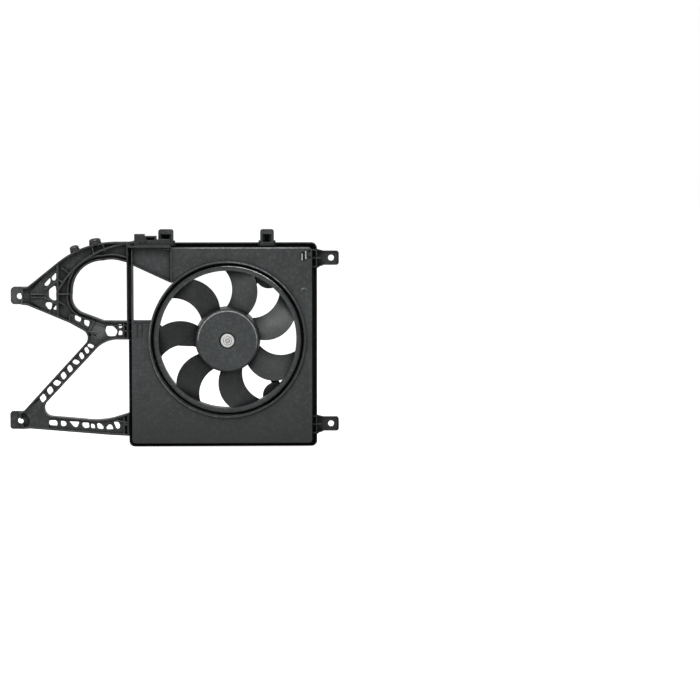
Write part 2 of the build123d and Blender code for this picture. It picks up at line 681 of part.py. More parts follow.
def armature_winding():
    head_r = SLOT_OUTER_R - 0.5
    front_head = tube(head_r, 15, CORE_FRONT_Y - 4.5, CORE_FRONT_Y)
    rear_head = tube(head_r, 15, CORE_REAR_Y, CORE_REAR_Y + 3.0)
    bars = slab(slot_ring(-0.15, False), CORE_FRONT_Y - 0.5, CORE_REAR_Y + 0.5)
    return (front_head + rear_head + bars).solids().sort_by(SortBy.VOLUME)[-1]


def commutator():
    body = tube(COMMUTATOR_R, SHAFT_R, CORE_REAR_Y + 4, CORE_REAR_Y + 14)
    body += tube(COMMUTATOR_R + 1.6, SHAFT_R, CORE_REAR_Y + 3.2, CORE_REAR_Y + 5.2)
    for i in range(SLOTS):
        turn = Rot(0, i * 360 / SLOTS, 0)
        groove = turn * Pos(COMMUTATOR_R + 1, 0, 0) * Box(4, 14, 0.6)
        body -= Pos(FAN_X, CORE_REAR_Y + 9, FAN_Z) * groove
    return body.solids()[0]


def motor_shaft():
    rear = REAR_BEARING_Y + BEARING_W - 0.5
    shaft = slab(disc(FAN_X, FAN_Z, SHAFT_R), -REAR_Y, rear)
    return chamfer(shaft.edges().filter_by(GeomType.CIRCLE).sort_by(Axis.Y)[0], 0.6)


def across(side, near, far, y0, y1, half):
    """A block at one side of the fan axis, from a near to a far distance from it."""
    ends = sorted((FAN_X + side * near, FAN_X + side * far))
    return box(*ends, CORE_REAR_Y + y0, CORE_REAR_Y + y1, FAN_Z - half, FAN_Z + half)


def brush_holder():
    """Plate in front of the end plate with a box for each brush."""
    plate = tube(CAN_INNER_R, BEARING_R + 3, CORE_REAR_Y + 14.6, CORE_REAR_Y + 17.0)
    for side in (-1, 1):
        case = across(side, COMMUTATOR_R + 3.5, BRUSH_STOP_R + 2.2, 5.5, 15, 5.5)
        hole = across(side, COMMUTATOR_R + 2.5, BRUSH_STOP_R + 3.2, 7, 13, 4)
        stop = across(side, BRUSH_STOP_R, BRUSH_STOP_R + 2.4, 6, 14, 5)
        plate += case - hole + stop
    return plate.solids().sort_by(SortBy.VOLUME)[-1]


def brushes():
    rear = BRUSH_STOP_R - SPRING_LENGTH
    return [across(side, COMMUTATOR_R + 0.4, rear, 7, 13, 4) for side in (-1, 1)]


def coil(turns, sides, radius, length, wire):
    """A coil spring along Z, each turn drawn as straight runs."""
    points = []
    for i in range(turns * sides + 1):
        turn = math.radians(360 * i / sides)
        points.append((radius * math.cos(turn), radius * math.sin(turn), length * i / (turns * sides)))
    path = Polyline(*points)
    section = Plane(origin=path @ 0, z_dir=path % 0) * Rectangle(wire, wire)
    return sweep(section, path=path, transition=Transition.RIGHT)


def brush_springs():
    """Coil springs that press the brushes, between brush and stop."""
    pair = []
    wire = 0.8
    play = 0.1
    start = BRUSH_STOP_R - SPRING_LENGTH + (wire + play) / 2
    for side in (-1, 1):
        spring = coil(4, 8, 2.2, SPRING_LENGTH - wire - play, wire)
        place = Pos(FAN_X + side * start, CORE_REAR_Y + 10, FAN_Z)
        pair.append((place * Rot(0, side * 90, 0) * spring).solids()[0])
    return pair


# Motor carrier behind the wheel

def strut_line(angle):
    """Curved centre line of one strut, leaning with the turn of the wheel."""
    bend = 5.0 if angle > 90 else 10.5
    start = polar(RING_OUTER_R - 3, angle + bend + 5)
    middle = polar((RING_OUTER_R + FOOT_R) / 2, angle + bend)
    end = polar(FOOT_R, angle)
    return ThreePointArc(start, middle, end)


def foot_lobe(angle):
    """The rounded foot of a strut where it lies on the collar."""
    lobe = disc(*polar(COLLAR_INNER_R - 1, angle), FOOT_LOBE_R)
    return lobe & disc(FAN_X, FAN_Z, COLLAR_OUTER_R + 2)


def motor_carrier():
    area = ring(FAN_X, FAN_Z, RING_OUTER_R, RING_INNER_R)
    carrier = slab(area, COLLAR_REAR_Y, COLLAR_REAR_Y + 9.5)
    for angle in STRUT_ANGLES:
        line = strut_line(angle)
        wide = trace(line, 14)
        narrow = trace(line, 9.6)
        strut = slab(wide, CARRIER_REAR_Y - 2.6, CARRIER_REAR_Y)
        strut += slab(wide - narrow, COLLAR_REAR_Y + 0.4, CARRIER_REAR_Y)
        strut -= slab(disc(FAN_X, FAN_Z, RING_INNER_R + 1), COLLAR_REAR_Y - 1, CARRIER_REAR_Y + 1)
        strut += slab(foot_lobe(angle), COLLAR_REAR_Y, COLLAR_REAR_Y + 4)
        x, z = polar(FOOT_R, angle)
        strut += slab(disc(x, z, FOOT_PAD_R), COLLAR_REAR_Y, CARRIER_REAR_Y)
        strut -= slab(disc(x, z, SCREW_R + 0.4), COLLAR_REAR_Y - 1, CARRIER_REAR_Y + 1)
        strut -= slab(disc(x, z, 5.4), COLLAR_REAR_Y + 4, CARRIER_REAR_Y + 1)
        carrier += strut
    for angle in MOTOR_BOLT_ANGLES:
        x, z = polar(MOTOR_BOLT_R, angle)
        carrier -= slab(disc(x, z, 5.0), COLLAR_REAR_Y - 1, CARRIER_REAR_Y + 1)
    return carrier.solids().sort_by(SortBy.VOLUME)[-1]


def carrier_screws():
    screws = []
    seat = COLLAR_REAR_Y + 4
    for angle in STRUT_ANGLES:
        x, z = polar(FOOT_R, angle)
        shank = slab(disc(x, z, SCREW_R), 7, seat)
        head = slab(disc(x, z, 4.2), seat, seat + 3)
        head -= slab(Pos(x, z) * RegularPolygon(2.0, 6), seat + 1.2, seat + 4)
        screws.append(shank + head)
    return screws


def motor_grommets():
    bushes = []
    for angle in MOTOR_BOLT_ANGLES:
        x, z = polar(MOTOR_BOLT_R, angle)
        bush = slab(ring(x, z, 4.95, 2.6), COLLAR_REAR_Y - 0.5, CARRIER_REAR_Y)
        bush += slab(ring(x, z, 6.4, 2.6), COLLAR_REAR_Y - 2.1, COLLAR_REAR_Y)
        bush += slab(ring(x, z, 6.4, 2.6), CARRIER_REAR_Y, CARRIER_REAR_Y + 1)
        bushes.append(bush)
    return bushes


def motor_bolts():
    bolts = []
    for angle in MOTOR_BOLT_ANGLES:
        x, z = polar(MOTOR_BOLT_R, angle)
        shank = slab(disc(x, z, 2.5), 18.5, CARRIER_REAR_Y + 1)
        head = slab(Pos(x, z) * RegularPolygon(4.6, 6), CARRIER_REAR_Y + 1, CARRIER_REAR_Y + 3.4)
        bolts.append(shank + head)
    return bolts


# Small pieces on the outside

def connector_bracket():
    """Plug holder clipped over the top left of the rim."""
    left = PAN_LEFT - 2.0
    front = PANEL_Y - 4.0
    shelf_z = PAN_TOP + 4.1
    top = RIM_TOP + 13.4
    block = box(left, -31.0, front, REAR_Y - 20, RIM_TOP, RIM_TOP + 3)
    block += box(left, -5.0, PANEL_Y - 8, PANEL_Y, shelf_z - 4, shelf_z)
    block += box(left, -5.0, PANEL_Y - 1, PANEL_Y + 4, PAN_TOP, shelf_z)
    block += box(-71.5, -6.5, front, PANEL_Y, shelf_z - 1, RIM_TOP + 7.5)
    block += box(-71.5, -31.0, front, 10, RIM_TOP + 2, top)
    block += box(-71.5, -52.5, front, 10, top - 1, top + 3.5)
    block -= box(-68.5, -34.5, PANEL_Y - 1, 12, RIM_TOP + 5, top - 2.5)
    block -= box(-49.5, -34.5, front - 1, PANEL_Y, RIM_TOP + 6, top - 2.5)
    for x in (-60.0, -50.7, -22.0):
        block -= slab(disc(x, RIM_TOP + 0.6, 1.5), PANEL_Y - 8, PANEL_Y + 2)
    return block.solids().sort_by(SortBy.VOLUME)[-1]


def harness_clips():
    """Two mushroom pegs pushed into the edge of the arch."""
    clips = []
    for share, radius in PEGS:
        outline = Polyline(
            (0, -ARM_RIM),
            (PEG_R, -ARM_RIM),
            (PEG_R, 0),
            (radius, 0),
            (radius, 4.4),
            (radius - 2.2, 4.4),
            (radius - 2.2, 6.0),
            (radius - 0.6, 6.0),
            (radius - 0.6, PEG_HEIGHT - 2.6),
            (radius - 3.2, PEG_HEIGHT),
            (0, PEG_HEIGHT),
            close=True,
        )
        clips.append(on_arch(share, revolve(Plane.XZ * make_face(outline), Axis.Z)))
    return clips


def panel_clip():
    """Spring steel clip of two upright blades, folded from one strip."""
    left = PAN_RIGHT - 19.4
    clip = box(left, left + 9.6, PANEL_Y - 1.2, PANEL_Y, 346.0, 360.0)
    clip += box(left, left + 2.2, PANEL_Y - 4.6, PANEL_Y, 344.6, 357.0)
    clip += box(left + 6.6, left + 8.8, PANEL_Y - 4.6, PANEL_Y, 347.0, 361.6)
    return clip.solids()[0]


write("shroud_panel", shroud_panel())
write("side_carrier", side_carrier())
write("motor_carrier", motor_carrier())
write("carrier_screws", *carrier_screws())
write("motor_grommets", *motor_grommets())
write("motor_bolts", *motor_bolts())
write("motor_housing", motor_housing())
write("motor_end_plate", motor_end_plate())
write("lead_gland", lead_gland())
write("magnets", *magnets())
write("front_bearing", bearing(FRONT_BEARING_Y))
write("rear_bearing", bearing(REAR_BEARING_Y))
write("motor_shaft", motor_shaft())
write("armature_core", armature_core())
write("armature_winding", armature_winding())
write("commutator", commutator())
write("brush_holder", brush_holder())
write("brushes", *brushes())
write("brush_springs", *brush_springs())
write("fan_wheel", fan_wheel())
write("nut_washer", nut_washer())
write("fan_nut", fan_nut())
write("connector_bracket", connector_bracket())
write("harness_clips", *harness_clips())
write("panel_clip", panel_clip())
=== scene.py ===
import math

import bmesh
import bpy
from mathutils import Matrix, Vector


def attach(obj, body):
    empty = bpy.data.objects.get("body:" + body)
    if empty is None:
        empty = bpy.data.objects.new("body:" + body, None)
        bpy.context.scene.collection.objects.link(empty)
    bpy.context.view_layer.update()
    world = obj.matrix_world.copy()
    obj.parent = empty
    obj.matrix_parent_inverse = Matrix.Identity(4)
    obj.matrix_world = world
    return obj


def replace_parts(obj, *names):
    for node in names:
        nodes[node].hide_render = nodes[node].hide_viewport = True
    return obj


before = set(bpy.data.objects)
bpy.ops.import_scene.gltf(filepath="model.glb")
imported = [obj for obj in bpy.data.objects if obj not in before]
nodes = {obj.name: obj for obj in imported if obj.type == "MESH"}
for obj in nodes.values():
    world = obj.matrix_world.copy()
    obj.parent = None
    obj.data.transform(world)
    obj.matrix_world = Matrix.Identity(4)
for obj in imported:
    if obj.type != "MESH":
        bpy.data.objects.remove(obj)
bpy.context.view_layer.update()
scene = bpy.context.scene

# The viewpoint: a long lens about five metres in front of the fan and a little above it, so
# that the pan is seen almost square on and the hub shows slightly from above.
VIEW_FROM = (0.143, -5.0, 0.590)
VIEW_AIM = (0.324, 0.038, 0.176)
LENS_MM = 140.5
SENSOR_MM = 36.0
SEEN_FROM = 0.1
SEEN_TO = 60.0


def put_in_scene(name, data):
    """Adds a camera, a lamp or a mesh to the scene under its own name."""
    made = bpy.data.objects.new(name, data)
    scene.collection.objects.link(made)
    return made


def turn_towards(thing, place, target):
    """Stands a camera or a lamp at a place and points it at a target."""
    thing.location = place
    thing.rotation_mode = "QUATERNION"
    thing.rotation_quaternion = (Vector(target) - Vector(place)).to_track_quat("-Z", "Y")


camera_data = bpy.data.cameras.new("studio_camera")
camera_data.lens = LENS_MM
camera_data.sensor_width = SENSOR_MM
camera_data.clip_start = SEEN_FROM
camera_data.clip_end = SEEN_TO
camera = put_in_scene("studio_camera", camera_data)
turn_towards(camera, VIEW_FROM, VIEW_AIM)
scene.camera = camera
scene.view_settings.view_transform = "Standard"

# The studio: a pale floor that runs out of sight, a white surround, one wide softbox high in
# front and two weaker ones at the sides, all at a level where a colour looks as it is written.
WHITE = (1, 1, 1, 1)
SURROUND_LIGHT = 0.24
FLOOR_HALF = 14.0
FLOOR_PALE = (0.9, 0.9, 0.9, 1)
FLOOR_ROUGHNESS = 0.8
FLOOR_SPECULAR = 0.1
FLOOR_LIFT = 0.85
LAMPS_AIM = (0, 0, 0.19)
SOFTBOXES = (
    ("softbox_top", (-0.15, -1.25, 1.80), (1.7, 0.8), 39.0),
    ("softbox_left", (-2.9, -2.2, 1.3), (1.0, 1.6), 25.0),
    ("softbox_right", (3.1, -2.0, 1.3), (1.0, 1.6), 8.0),
)


def add_node(tree, kind, **settings):
    """Adds one shader node and sets its plain properties."""
    made = tree.nodes.new(kind)
    for key, value in settings.items():
        setattr(made, key, value)
    return made


def calc(tree, operation, a, b=0.0):
    """One step of arithmetic on numbers or sockets."""
    made = add_node(tree, "ShaderNodeMath", operation=operation)
    for socket, value in zip(made.inputs, (a, b)):
        if isinstance(value, (int, float)):
            socket.default_value = value
        else:
            tree.links.new(value, socket)
    return made.outputs[0]


def new_finish(name):
    """A new material, with its node tree and its shader."""
    material = bpy.data.materials.new(name)
    material.use_nodes = True
    tree = material.node_tree
    return material, tree, tree.nodes["Principled BSDF"]


def white_surround():
    """White wherever the camera or a reflection looks, and a weaker light for all else."""
    world = bpy.data.worlds.new("white_surround")
    scene.world = world
    world.use_nodes = True
    tree = world.node_tree
    tree.nodes.clear()
    path = add_node(tree, "ShaderNodeLightPath").outputs
    seen = calc(tree, "MAXIMUM", path["Is Camera Ray"], path["Is Glossy Ray"])
    seen = calc(tree, "MAXIMUM", seen, path["Is Transmission Ray"])
    mix = add_node(tree, "ShaderNodeMixShader")
    tree.links.new(seen, mix.inputs[0])
    for socket, strength in ((mix.inputs[1], SURROUND_LIGHT), (mix.inputs[2], 1.0)):
        sky = add_node(tree, "ShaderNodeBackground")
        sky.inputs["Color"].default_value = WHITE
        sky.inputs["Strength"].default_value = strength
        tree.links.new(sky.outputs[0], socket)
    out = add_node(tree, "ShaderNodeOutputWorld")
    tree.links.new(mix.outputs[0], out.inputs["Surface"])


def pale_floor():
    """A floor that reads as white and still takes the shadow of what stands on it."""
    material, tree, shader = new_finish("floor_white")
    shader.inputs["Base Color"].default_value = FLOOR_PALE
    shader.inputs["Roughness"].default_value = FLOOR_ROUGHNESS
    shader.inputs["Specular IOR Level"].default_value = FLOOR_SPECULAR
    lift = add_node(tree, "ShaderNodeEmission")
    lift.inputs["Color"].default_value = WHITE
    seen = add_node(tree, "ShaderNodeLightPath").outputs["Is Camera Ray"]
    tree.links.new(calc(tree, "MULTIPLY", seen, FLOOR_LIFT), lift.inputs["Strength"])
    both = add_node(tree, "ShaderNodeAddShader")
    tree.links.new(shader.outputs[0], both.inputs[0])
    tree.links.new(lift.outputs[0], both.inputs[1])
    tree.links.new(both.outputs[0], tree.nodes["Material Output"].inputs["Surface"])

    half = FLOOR_HALF
    corners = [(-half, -half, 0.0), (half, -half, 0.0), (half, half, 0.0), (-half, half, 0.0)]
    mesh = bpy.data.meshes.new("studio_floor")
    mesh.from_pydata(corners, [], [(0, 1, 2, 3)])
    mesh.materials.append(material)
    put_in_scene("studio_floor", mesh)


def softbox(name, place, size, watts):
    """One rectangular lamp turned towards the middle of the fan."""
    lamp = bpy.data.lights.new(name, "AREA")
    lamp.shape = "RECTANGLE"
    lamp.size, lamp.size_y = size
    lamp.energy = watts
    turn_towards(put_in_scene(name, lamp), place, LAMPS_AIM)


white_surround()
pale_floor()
for name, place, size, watts in SOFTBOXES:
    softbox(name, place, size, watts)

# The shroud panel: one large injection moulding in talc-filled black polypropylene, with a
# fine spark-eroded grain on its face, a lightly clouded skin, painted shade in its grooves and
# corners, and paler edges that are partly rubbed and partly painted highlight.
PANEL_BLACK = (0.0175, 0.0200, 0.0205)
PANEL_PALE = (0.075, 0.080, 0.080)

# The patterns in a moulded skin: waves per metre, octaves and roughness, and then the span of
# the pattern that counts. The waves and the pits are relief and need no span.
CLOUDS = ((22.0, 6.0, 0.62), (0.35, 0.68))
CLOUD_DARK = 0.66
CLOUD_LIGHT = 1.30
MOTTLE = ((150.0, 5.0, 0.75), (0.48, 0.70))
MOTTLE_SHARE = 0.40
SPECKS = ((900.0, 3.0, 0.6), (0.60, 0.78))
SPECK_SHARE = 0.30
MATT_PATCHES = ((70.0, 5.0, 0.6), (0.3, 0.7))
MATT_LESS = 0.06
MATT_MORE = 0.07
WAVES = (38.0, 2.0, 0.5)
WAVE_HEIGHT = 0.00030
PITS = (2300.0, 2.0, 0.55)

# Edges are paled, partly as wear and partly as painted highlight, from where the surface begins
# to turn, given as a cosine, and not evenly.
EDGE_TURN = (0.99, 0.80)
EDGE_SAMPLES = 6
EDGE_BREAKS = ((160.0, 4.0, 0.7), (0.38, 0.66))
EDGE_LEAST = 0.15

# In grooves and corners the colour is darkened with painted shade, and the gloss is turned down
# there.
PAINTED_SHADE_REACH = 0.016
PAINTED_SHADE_SPAN = (0.30, 0.92)
PAINTED_SHADE_SAMPLES = 8
PAINTED_CORNER_SHADE = 0.30
SPECULAR_IN_CORNERS = 0.08
SPECULAR_OPEN = 0.42


def noise(tree, where, scale, detail, rough):
    """A cloudy pattern over the surface, from 0 to 1."""
    made = add_node(tree, "ShaderNodeTexNoise")
    tree.links.new(where, made.inputs["Vector"])
    made.inputs["Scale"].default_value = scale
    made.inputs["Detail"].default_value = detail
    made.inputs["Roughness"].default_value = rough
    return made.outputs["Fac"]


def spread(tree, value, low, high, to_low=0.0, to_high=1.0):
    """Stretches the part of a value between low and high over a new range."""
    made = add_node(tree, "ShaderNodeMapRange")
    tree.links.new(value, made.inputs["Value"])
    ends = {"From Min": low, "From Max": high, "To Min": to_low, "To Max": to_high}
    for end, number in ends.items():
        made.inputs[end].default_value = number
    return made.outputs["Result"]


def pattern(tree, where, kind, to_low=0.0, to_high=1.0):
    """One of the patterns above, with its span stretched over a new range."""
    waves, span = kind
    return spread(tree, noise(tree, where, *waves), *span, to_low, to_high)


def times(tree, first, *others):
    """Several shares multiplied together."""
    for other in others:
        first = calc(tree, "MULTIPLY", first, other)
    return first


def shade(colour, factor):
    """A lighter or darker tone of one colour."""
    return tuple(part * factor for part in colour)


def blend_colour(tree, share, first, second):
    """The first colour where the share is 0 and the second where it is 1."""
    made = add_node(tree, "ShaderNodeMix", data_type="RGBA")
    tree.links.new(share, made.inputs["Factor"])
    for socket, value in ((made.inputs[6], first), (made.inputs[7], second)):
        if isinstance(value, tuple):
            socket.default_value = (*value, 1)
        else:
            tree.links.new(value, socket)
    return made.outputs[2]


def place_on(tree):
    """Where a point lies on the object, in metres."""
    return add_node(tree, "ShaderNodeTexCoord").outputs["Object"]


def rounded_normal(tree, radius):
    """The way the surface faces, with its edges rounded off so that they catch the light."""
    made = add_node(tree, "ShaderNodeBevel", samples=EDGE_SAMPLES)
    made.inputs["Radius"].default_value = radius
    return made.outputs[0]


def edge_share(tree, rounded):
    """Strongest on the edge itself, where the rounded normal leaves the true one."""
    dot = add_node(tree, "ShaderNodeVectorMath", operation="DOT_PRODUCT")
    tree.links.new(rounded, dot.inputs[0])
    flat = add_node(tree, "ShaderNodeNewGeometry").outputs["Normal"]
    tree.links.new(flat, dot.inputs[1])
    return spread(tree, dot.outputs["Value"], *EDGE_TURN)


def painted_shade_openness(tree, reach):
    """Near 1 in the open and near 0 in grooves and corners, where shade is painted in."""
    made = add_node(tree, "ShaderNodeAmbientOcclusion", samples=PAINTED_SHADE_SAMPLES)
    made.inputs["Distance"].default_value = reach
    return spread(tree, made.outputs["AO"], *PAINTED_SHADE_SPAN)


def surface_relief(tree, normal, heights):
    """Lays one bump over another, coarse first."""
    for height, distance in heights:
        bump = add_node(tree, "ShaderNodeBump")
        bump.inputs["Strength"].default_value = 1.0
        bump.inputs["Distance"].default_value = distance
        tree.links.new(height, bump.inputs["Height"])
        tree.links.new(normal, bump.inputs["Normal"])
        normal = bump.outputs["Normal"]
    return normal


def moulded_black(name, black, pale_tone, gloss, grain, edge=0.0012, edge_pale_strength=0.8):
    """Moulded black plastic: clouded colour, fine grain, painted shade in grooves and corners,
    and pale edges, partly wear and partly painted highlight.
    """
    material, tree, shader = new_finish(name)
    where = place_on(tree)
    clouds = pattern(tree, where, CLOUDS)
    body = blend_colour(tree, clouds, shade(black, CLOUD_DARK), shade(black, CLOUD_LIGHT))
    mottle = pattern(tree, where, MOTTLE, 0.0, MOTTLE_SHARE)
    body = blend_colour(tree, mottle, body, pale_tone)
    specks = pattern(tree, where, SPECKS, 0.0, SPECK_SHARE)
    body = blend_colour(tree, specks, body, pale_tone)
    # Painted shade: the colour darkens in grooves and corners.
    open_to_light = painted_shade_openness(tree, PAINTED_SHADE_REACH)
    body = blend_colour(tree, open_to_light, shade(black, PAINTED_CORNER_SHADE), body)

    # The pale edges are partly wear and partly painted highlight.
    rounded = rounded_normal(tree, edge)
    patchy = pattern(tree, where, EDGE_BREAKS, EDGE_LEAST)
    wear_and_highlight = times(tree, edge_share(tree, rounded), patchy, edge_pale_strength)
    tree.links.new(blend_colour(tree, wear_and_highlight, body, pale_tone), shader.inputs["Base Color"])

    matt = pattern(tree, where, MATT_PATCHES, gloss - MATT_LESS, gloss + MATT_MORE)
    tree.links.new(matt, shader.inputs["Roughness"])
    specular = spread(tree, open_to_light, 0.0, 1.0, SPECULAR_IN_CORNERS, SPECULAR_OPEN)
    tree.links.new(specular, shader.inputs["Specular IOR Level"])

    waves = noise(tree, where, *WAVES)
    pits = noise(tree, where, *PITS)
    relief = surface_relief(tree, rounded, ((waves, WAVE_HEIGHT), (pits, grain)))
    tree.links.new(relief, shader.inputs["Normal"])
    return material


def dress(node, material):
    """Gives every face of a CAD node one finish."""
    mesh = nodes[node].data
    mesh.materials.clear()
    mesh.materials.append(material)


panel_finish = moulded_black(
    "panel_grained_black", PANEL_BLACK, PANEL_PALE, gloss=0.47, grain=0.00006
)
dress("shroud_panel", panel_finish)

# Marks on it: a painted highlight along the front edge of the collar at the upper right, a
# paler line round the side of the collar on the left and below, a painted highlight along the
# top edge of the pan, and a small curved scuff beside the right-hand wall. Low down and on the
# right-hand ears the colour is darkened with painted shade.
MARK_BREAKS = ((210.0, 3.0, 0.6), (0.42, 0.60))
MARK_LEAST = 0.25

# A band holds its start, its end and how softly it fades, as a distance from a middle (R), an
# angle about it in radians (ARC) or a place along an axis. Where there are only two numbers,
# the tone changes steadily from one to the other.
COLLAR_MIDDLE = (0.098, 0.0, 0.1996)
COLLAR_EDGE_R = (0.1412, 0.1425, 0.0003)
COLLAR_EDGE_ARC = (0.75, 1.45, 0.35)
COLLAR_EDGE_HIGHLIGHT = (0.17, 0.175, 0.175)
COLLAR_SIDE_R = (0.1428, 0.1442, 0.0003)
COLLAR_SIDE_CLEAN_ARC = (-1.2, 2.6, 0.5)
COLLAR_SIDE_PALE = (0.20, 0.21, 0.21)
TOP_EDGE_Z = (0.3664, 0.3684, 0.0003)
TOP_EDGE_X = (0.060, 0.238, 0.060)
TOP_EDGE_Y = (-0.002, 0.004)
TOP_EDGE_HIGHLIGHT = (0.26, 0.27, 0.27)
LOW_DOWN_Z = (0.110, 0.020)
LOW_DOWN_SHARE = 0.60
EARS_X = (0.262, 0.270)
EARS_SHARE = 0.75
PAINTED_SHADE_BLACK = (0.0050, 0.0058, 0.0060)
SCUFF_MIDDLE = (0.2385, 0.0, 0.2880)
SCUFF_R = (0.0048, 0.0062, 0.0006)
SCUFF_ARC = (0.6, 2.6, 0.3)
SCUFF_PALE = (0.16, 0.165, 0.16)


def along_axes(tree):
    """The place of a point as three numbers: sideways, front to back and up."""
    parts = add_node(tree, "ShaderNodeSeparateXYZ")
    tree.links.new(place_on(tree), parts.inputs[0])
    return parts.outputs["X"], parts.outputs["Y"], parts.outputs["Z"]


def offset_from(tree, centre):
    """How far a point lies sideways and upwards from a centre."""
    x, _, z = along_axes(tree)
    return calc(tree, "SUBTRACT", x, centre[0]), calc(tree, "SUBTRACT", z, centre[2])


def distance_from(tree, centre):
    """How far a point lies from the front-to-back axis through a centre."""
    x, z = offset_from(tree, centre)
    return calc(tree, "SQRT", calc(tree, "ADD", times(tree, x, x), times(tree, z, z)))


def angle_about(tree, centre):
    """The angle about that axis, in radians, upwards from the right."""
    x, z = offset_from(tree, centre)
    return calc(tree, "ARCTAN2", z, x)


def band_mask(tree, value, band):
    """1 inside the band, falling softly to 0 at both its ends."""
    low, high, soft = band
    rise = spread(tree, value, low - soft, low)
    fall = spread(tree, value, high, high + soft, 1.0, 0.0)
    return times(tree, rise, fall)


def tint_where(material, colour, *shares):
    """Lays a further colour over a finish, as strongly as the shares multiplied say."""
    tree = material.node_tree
    base = tree.nodes["Principled BSDF"].inputs["Base Color"]
    before = base.links[0].from_socket
    tree.links.new(blend_colour(tree, times(tree, *shares), before, colour), base)


panel_tree = panel_finish.node_tree
broken = pattern(panel_tree, place_on(panel_tree), MARK_BREAKS, MARK_LEAST)

radius = distance_from(panel_tree, COLLAR_MIDDLE)
angle = angle_about(panel_tree, COLLAR_MIDDLE)
edge_line = band_mask(panel_tree, radius, COLLAR_EDGE_R)
upper_right = band_mask(panel_tree, angle, COLLAR_EDGE_ARC)
# Painted highlight along the collar's front edge, at the upper right.
tint_where(panel_finish, COLLAR_EDGE_HIGHLIGHT, edge_line, upper_right, broken)
side_line = band_mask(panel_tree, radius, COLLAR_SIDE_R)
clean_side = band_mask(panel_tree, angle, COLLAR_SIDE_CLEAN_ARC)
lower_left = calc(panel_tree, "SUBTRACT", 1.0, clean_side)
tint_where(panel_finish, COLLAR_SIDE_PALE, side_line, lower_left, broken)

sideways, depth, height = along_axes(panel_tree)
# Painted highlight along the top front edge of the pan.
top_edge = band_mask(panel_tree, height, TOP_EDGE_Z)
along_top = band_mask(panel_tree, sideways, TOP_EDGE_X)
in_front = spread(panel_tree, depth, *TOP_EDGE_Y, 1.0, 0.0)
tint_where(panel_finish, TOP_EDGE_HIGHLIGHT, top_edge, along_top, in_front, broken)
# Painted shade: the panel darkens towards the bottom and on the right-hand ears.
low_down = spread(panel_tree, height, *LOW_DOWN_Z, 0.0, LOW_DOWN_SHARE)
tint_where(panel_finish, PAINTED_SHADE_BLACK, low_down)
on_ears = spread(panel_tree, sideways, *EARS_X, 0.0, EARS_SHARE)
tint_where(panel_finish, PAINTED_SHADE_BLACK, on_ears)

scuff_line = band_mask(panel_tree, distance_from(panel_tree, SCUFF_MIDDLE), SCUFF_R)
scuff_arc = band_mask(panel_tree, angle_about(panel_tree, SCUFF_MIDDLE), SCUFF_ARC)
tint_where(panel_finish, SCUFF_PALE, scuff_line, scuff_arc, broken)

# The side carrier: the lattice moulding beside the pan, in the same polypropylene but with a
# plain tool finish, so it is a little glossier, and its many thin ribs carry paler lines along
# their edges, partly flash and partly painted highlight.
# The carrier behind the wheel, which holds the motor, has the same finish.
CARRIER_BLACK = (0.0120, 0.0138, 0.0142)
CARRIER_PALE = (0.100, 0.106, 0.105)

carrier_finish = moulded_black(
    "carrier_plain_black", CARRIER_BLACK, CARRIER_PALE,
    gloss=0.40, grain=0.00003, edge=0.0014, edge_pale_strength=1.0,
)
dress("side_carrier", carrier_finish)
dress("motor_carrier", carrier_finish)

# Flat places on it painted paler as painted light, which also lifts the painted corner shade
# there: the plate beside the bridge to the pan and the upper left ear, each with its middle,
# its reach and its strength.
PAINTED_PALE_PATCHES = (
    ((-0.1400, 0.0, 0.2150), 0.018, 0.60),
    ((-0.2860, 0.0, 0.2790), 0.022, 0.40),
)

carrier_tree = carrier_finish.node_tree
# Painted light: paler patches over these flat places.
for centre, reach, strength in PAINTED_PALE_PATCHES:
    radius = distance_from(carrier_tree, centre)
    lifted = spread(carrier_tree, radius, 0.5 * reach, reach, strength, 0.0)
    tint_where(carrier_finish, CARRIER_PALE, lifted)

# The tongue at the top of the arch: a sloping web that reaches over the pan's corner to the
# plug holder, moulded in one with the arch in the carrier's polypropylene.
TONGUE_MM = (
    (-86.8, 367.0), (-87.2, 372.0), (-86.8, 377.2), (-84.0, 378.0), (-80.0, 378.7),
    (-76.0, 379.6), (-72.6, 380.6), (-71.8, 377.0), (-72.0, 372.8), (-75.5, 371.9),
    (-78.6, 371.4), (-79.8, 369.5), (-80.4, 367.0),
)
TONGUE_FRONT_MM = 12.0
TONGUE_REAR_MM = 17.5
TONGUE_EDGE = 0.0005


def soften_edges(piece, width, segments):
    """Rounds the edges of a piece, as the tool or tumbling leaves them."""
    soften = piece.modifiers.new("soften", "BEVEL")
    soften.width = width
    soften.segments = segments
    return soften


def arch_tongue():
    """The web: its outline at the front and at the rear, joined by a wall round the edge."""
    web = bmesh.new()
    front, rear = [
        [web.verts.new((x / 1000, y / 1000, z / 1000)) for x, z in TONGUE_MM]
        for y in (TONGUE_FRONT_MM, TONGUE_REAR_MM)
    ]
    for i in range(len(front)):
        after = (i + 1) % len(front)
        web.faces.new((front[i], rear[i], rear[after], front[after]))
    web.faces.new(front)
    web.faces.new(rear[::-1])
    bmesh.ops.recalc_face_normals(web, faces=web.faces)
    mesh = bpy.data.meshes.new("arch_top_tongue")
    web.to_mesh(mesh)
    web.free()
    mesh.materials.append(carrier_finish)
    tongue = put_in_scene("arch_top_tongue", mesh)
    soften_edges(tongue, TONGUE_EDGE, 3)
    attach(tongue, "frame")


arch_tongue()

